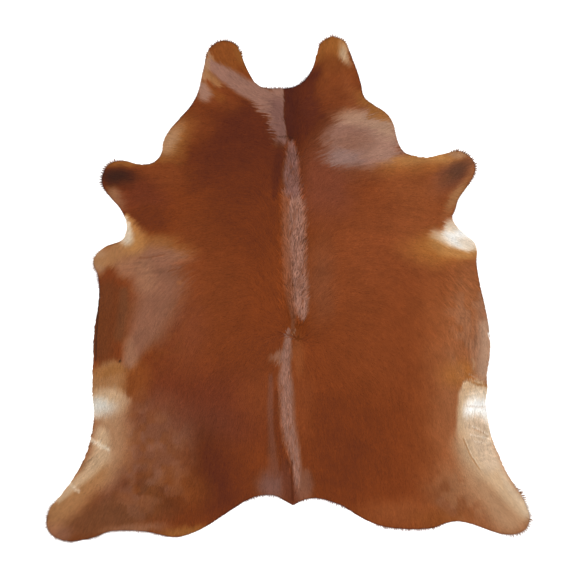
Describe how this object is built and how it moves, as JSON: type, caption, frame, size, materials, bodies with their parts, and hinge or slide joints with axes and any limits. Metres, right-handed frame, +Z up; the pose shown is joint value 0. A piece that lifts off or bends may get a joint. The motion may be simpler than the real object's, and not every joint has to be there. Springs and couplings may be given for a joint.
{
  "type": "leather hide",
  "caption": "Brown cowhide with its hair on, laid out flat: a thin sheet of leather and short coat in the outline of the skin.",
  "frame": {"origin": "centre of the hide's bounding box, on the surface it lies on", "axes": "+Z up, out of the hair side; +Y along the spine towards the neck; +X to the right as seen from above"},
  "size_m": [2.0984, 2.195, 0.0112],
  "materials": {
    "coat": "short glossy lying hair",
    "flesh_side": "pale suede"
  },
  "bodies": {
    "root": {"hide": "coat"}
  },
  "joints": []
}
